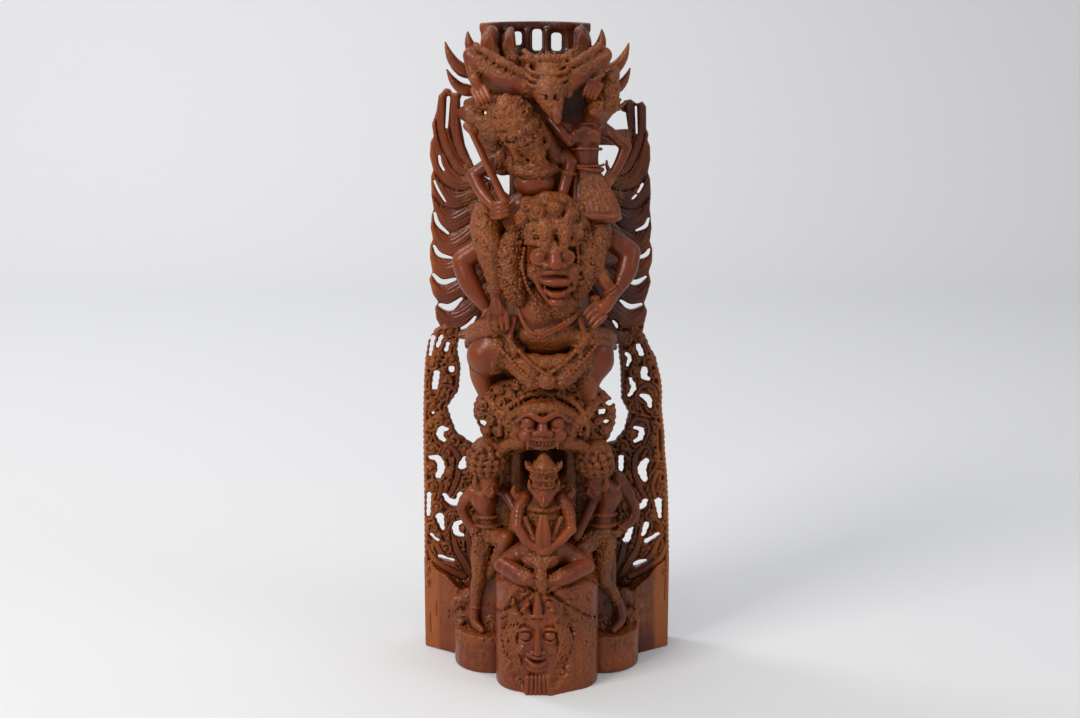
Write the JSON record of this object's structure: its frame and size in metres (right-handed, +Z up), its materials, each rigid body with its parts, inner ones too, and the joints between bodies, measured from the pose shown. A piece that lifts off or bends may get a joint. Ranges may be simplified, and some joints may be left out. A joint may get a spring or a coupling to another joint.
{
  "type": "carved wooden figure group",
  "caption": "Tall carved hardwood figure group: winged demon, rider, captive and bird above a lion mask, a seated crowned figure, attendants and pierced scroll panels on a lobed foot.",
  "frame": {"origin": "middle of the underside of the foot, at the centre of the box round the whole carving", "axes": "+Z up the height of the carving, front towards -Y, the flat split back towards +Y"},
  "size_m": [0.2384, 0.146, 0.6],
  "materials": {
    "wood": "dark reddish-brown hardwood, hand-carved, satin where handled"
  },
  "bodies": {
    "root": {"carving": "wood"}
  },
  "joints": []
}
